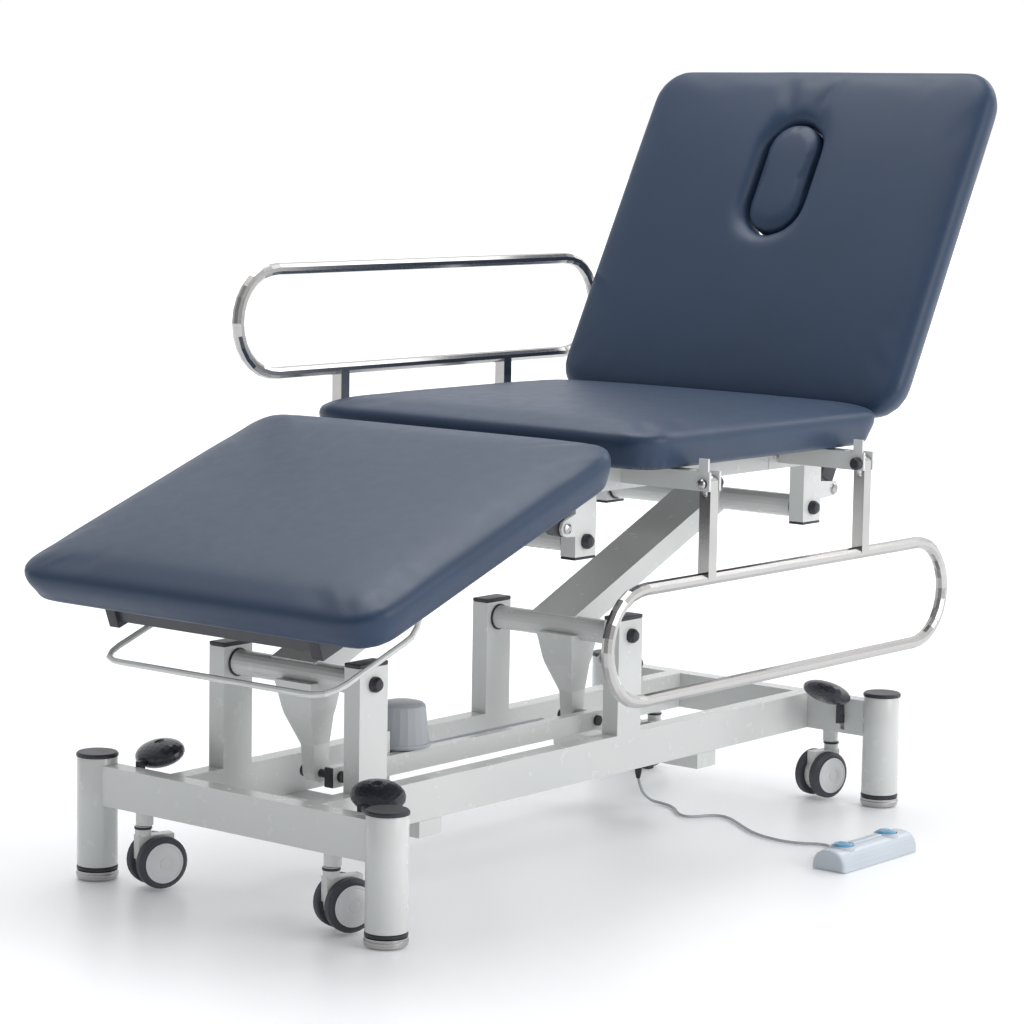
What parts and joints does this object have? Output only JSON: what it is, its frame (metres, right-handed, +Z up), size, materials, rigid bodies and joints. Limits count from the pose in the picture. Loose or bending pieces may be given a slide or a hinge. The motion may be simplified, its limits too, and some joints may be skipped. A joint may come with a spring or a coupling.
{
  "type": "medical examination table",
  "caption": "Sectioned treatment couch with a powered parallelogram lift, reclining backrest, folding leg section, swing-down side rails, castors and a foot switch.",
  "frame": {"origin": "middle of the footprint of the whole object, at floor level", "axes": "+Z up, +Y towards the backrest end, +X towards the side with the foot switch and the lowered side rail"},
  "size_m": [0.907, 1.6272, 1.2241],
  "materials": {
    "white_paint": "smooth satin powder coat",
    "dark_paint": "dark satin powder coat",
    "black_plastic": "fine matt grain",
    "zinc_steel": "satin plated",
    "polished_steel": "polished tube",
    "vinyl": "soft satin vinyl",
    "grey_plastic": "satin",
    "grey_tyre": "satin rubber",
    "blue_plastic": "gloss",
    "cable_sheath": "satin"
  },
  "bodies": {
    "base": {"base_end_foot": "white_paint", "base_end_head": "white_paint", "base_rail_near": "white_paint", "base_rail_far": "white_paint", "cross_member_foot": "white_paint", "cross_member_head": "white_paint", "lower_axle_foot": "black_plastic", "lower_axle_head": "black_plastic", "control_box": "black_plastic", "foot_switch": "grey_plastic", "foot_switch_cable": "cable_sheath", "post_cap_foot_near": "black_plastic", "post_cap_foot_far": "black_plastic", "post_cap_head_near": "black_plastic", "post_cap_head_far": "black_plastic", "levelling_foot_foot_near": "zinc_steel", "levelling_foot_foot_far": "zinc_steel", "levelling_foot_head_near": "zinc_steel", "levelling_foot_head_far": "zinc_steel"},
    "lift_head": {"lift_arm_head": "white_paint", "link_bolt_head": "black_plastic", "upper_axle_head": "black_plastic"},
    "lift_foot": {"lift_arm_foot": "white_paint", "link_bolt_foot": "black_plastic", "upper_axle_foot": "black_plastic"},
    "seat": {"seat_side_near": "white_paint", "seat_side_far": "white_paint", "seat_cross_foot": "white_paint", "seat_cross_head": "white_paint", "seat_cushion": "vinyl"},
    "link": {"link_bar": "white_paint"},
    "rod": {"actuator_rod": "zinc_steel"},
    "actuator": {"actuator_body": "grey_plastic"},
    "leg": {"leg_frame": "dark_paint", "leg_cushion": "vinyl", "leg_hinge_axle": "zinc_steel"},
    "release_bar": {"leg_release_bar": "white_paint"},
    "backrest": {"backrest_frame": "dark_paint", "backrest_cushion": "vinyl"},
    "face_plug": {"face_plug": "vinyl"},
    "rail_pivot_near": {"rail_bolt_near_foot": "black_plastic", "rail_bolt_near_head": "black_plastic"},
    "rail_near": {"rail_near": "polished_steel"},
    "rail_pivot_far": {"rail_bolt_far_foot": "black_plastic", "rail_bolt_far_head": "black_plastic"},
    "rail_far": {"rail_far": "polished_steel"},
    "castor_foot_near": {"castor_fork_foot_near": "white_paint"},
    "castor_foot_far": {"castor_fork_foot_far": "white_paint"},
    "castor_head_near": {"castor_fork_head_near": "white_paint"},
    "castor_head_far": {"castor_fork_head_far": "white_paint"},
    "wheel_foot_near": {"castor_wheel_foot_near": "grey_tyre"},
    "wheel_foot_far": {"castor_wheel_foot_far": "grey_tyre"},
    "wheel_head_near": {"castor_wheel_head_near": "grey_tyre"},
    "wheel_head_far": {"castor_wheel_head_far": "grey_tyre"},
    "pedal_foot_near": {"castor_pedal_foot_near": "black_plastic"},
    "pedal_foot_far": {"castor_pedal_foot_far": "black_plastic"},
    "pedal_head_near": {"castor_pedal_head_near": "black_plastic"},
    "pedal_head_far": {"castor_pedal_head_far": "black_plastic"},
    "button_down": {"foot_button_down": "blue_plastic"},
    "button_up": {"foot_button_up": "blue_plastic"}
  },
  "joints": [
    {"name": "lift", "type": "hinge", "parent": "base", "child": "lift_head", "pos_m": [-0.0695, 0.02984, 0.333], "axis": [1, 0, 0], "range_deg": [-14, 30]},
    {"name": "lift_follow", "type": "hinge", "parent": "base", "child": "lift_foot", "pos_m": [-0.0695, -0.57616, 0.333], "axis": [1, 0, 0], "range_deg": [-14, 30]},
    {"name": "seat_level", "type": "hinge", "parent": "lift_head", "child": "seat", "pos_m": [-0.0695, 0.42784, 0.509], "axis": [1, 0, 0], "range_deg": [-30, 14]},
    {"name": "link_pivot", "type": "hinge", "parent": "lift_head", "child": "link", "pos_m": [-0.0045, 0.04584, 0.185], "axis": [1, 0, 0], "range_deg": [-30, 14]},
    {"name": "rod_pivot", "type": "hinge", "parent": "lift_head", "child": "rod", "pos_m": [-0.0255, 0.04584, 0.185], "axis": [1, 0, 0], "range_deg": [-30, 14]},
    {"name": "actuator_stroke", "type": "slide", "parent": "rod", "child": "actuator", "axis": [0, 1, 0], "range_m": [-0.08, 0.04]},
    {"name": "leg_fold", "type": "hinge", "parent": "seat", "child": "leg", "pos_m": [-0.0695, -0.22416, 0.532], "axis": [-1, 0, 0], "range_deg": [0, 20]},
    {"name": "leg_release", "type": "hinge", "parent": "leg", "child": "release_bar", "pos_m": [-0.0695, -0.5582, 0.48491], "axis": [1, 0, 0], "range_deg": [-6, 0], "stiffness_Nm_per_rad": 10},
    {"name": "backrest_recline", "type": "hinge", "parent": "seat", "child": "backrest", "pos_m": [-0.0695, 0.46884, 0.655], "axis": [1, 0, 0], "range_deg": [-61.5, 0]},
    {"name": "face_plug_lift", "type": "slide", "parent": "backrest", "child": "face_plug", "axis": [0, -0.8788, 0.4772], "range_m": [0, 0.075]},
    {"name": "rail_swing_near", "type": "hinge", "parent": "seat", "child": "rail_pivot_near", "pos_m": [0.3035, 0.12984, 0.602], "axis": [0, -1, 0], "range_deg": [0, 180]},
    {"name": "rail_drop_near", "type": "slide", "parent": "rail_pivot_near", "child": "rail_near", "axis": [0, 0, 1], "range_m": [0, 0.018]},
    {"name": "rail_swing_far", "type": "hinge", "parent": "seat", "child": "rail_pivot_far", "pos_m": [-0.4425, 0.12984, 0.602], "axis": [0, -1, 0], "range_deg": [0, 180]},
    {"name": "rail_drop_far", "type": "slide", "parent": "rail_pivot_far", "child": "rail_far", "axis": [0, 0, 1], "range_m": [0, 0.018]},
    {"name": "castor_swivel_foot_near", "type": "hinge", "parent": "base", "child": "castor_foot_near", "pos_m": [0.1185, -0.70416, 0.09], "axis": [0, 0, 1], "continuous": true},
    {"name": "castor_swivel_foot_far", "type": "hinge", "parent": "base", "child": "castor_foot_far", "pos_m": [-0.2575, -0.70416, 0.09], "axis": [0, 0, 1], "continuous": true},
    {"name": "castor_swivel_head_near", "type": "hinge", "parent": "base", "child": "castor_head_near", "pos_m": [0.1185, 0.55184, 0.09], "axis": [0, 0, 1], "continuous": true},
    {"name": "castor_swivel_head_far", "type": "hinge", "parent": "base", "child": "castor_head_far", "pos_m": [-0.2575, 0.55184, 0.09], "axis": [0, 0, 1], "continuous": true},
    {"name": "castor_roll_foot_near", "type": "hinge", "parent": "castor_foot_near", "child": "wheel_foot_near", "pos_m": [0.12604, -0.68349, 0.042], "axis": [0.9394, -0.3429, 0], "continuous": true},
    {"name": "castor_roll_foot_far", "type": "hinge", "parent": "castor_foot_far", "child": "wheel_foot_far", "pos_m": [-0.24996, -0.68349, 0.042], "axis": [0.9394, -0.3429, 0], "continuous": true},
    {"name": "castor_roll_head_near", "type": "hinge", "parent": "castor_head_near", "child": "wheel_head_near", "pos_m": [0.1137, 0.53037, 0.042], "axis": [0.9759, -0.2182, 0], "continuous": true},
    {"name": "castor_roll_head_far", "type": "hinge", "parent": "castor_head_far", "child": "wheel_head_far", "pos_m": [-0.2623, 0.53037, 0.042], "axis": [0.9759, -0.2182, 0], "continuous": true},
    {"name": "pedal_press_foot_near", "type": "hinge", "parent": "base", "child": "pedal_foot_near", "pos_m": [0.1515, -0.68816, 0.14], "axis": [1, 0, 0], "range_deg": [-7, 0]},
    {"name": "pedal_press_foot_far", "type": "hinge", "parent": "base", "child": "pedal_foot_far", "pos_m": [-0.2905, -0.68816, 0.14], "axis": [1, 0, 0], "range_deg": [-7, 0]},
    {"name": "pedal_press_head_near", "type": "hinge", "parent": "base", "child": "pedal_head_near", "pos_m": [0.1515, 0.53584, 0.14], "axis": [1, 0, 0], "range_deg": [0, 7]},
    {"name": "pedal_press_head_far", "type": "hinge", "parent": "base", "child": "pedal_head_far", "pos_m": [-0.2905, 0.53584, 0.14], "axis": [1, 0, 0], "range_deg": [0, 7]},
    {"name": "button_press_down", "type": "slide", "parent": "base", "child": "button_down", "axis": [0, 0, -1], "range_m": [0, 0.0025], "stiffness_N_per_m": 600},
    {"name": "button_press_up", "type": "slide", "parent": "base", "child": "button_up", "axis": [0, 0, -1], "range_m": [0, 0.0025], "stiffness_N_per_m": 600}
  ],
  "couplings": [
    {"joint": "lift_follow", "follows": "lift", "ratio": 1},
    {"joint": "seat_level", "follows": "lift", "ratio": -1},
    {"joint": "link_pivot", "follows": "lift", "ratio": -1},
    {"joint": "rod_pivot", "follows": "lift", "ratio": -1},
    {"joint": "actuator_stroke", "follows": "lift", "m_per_rad": -0.142}
  ]
}
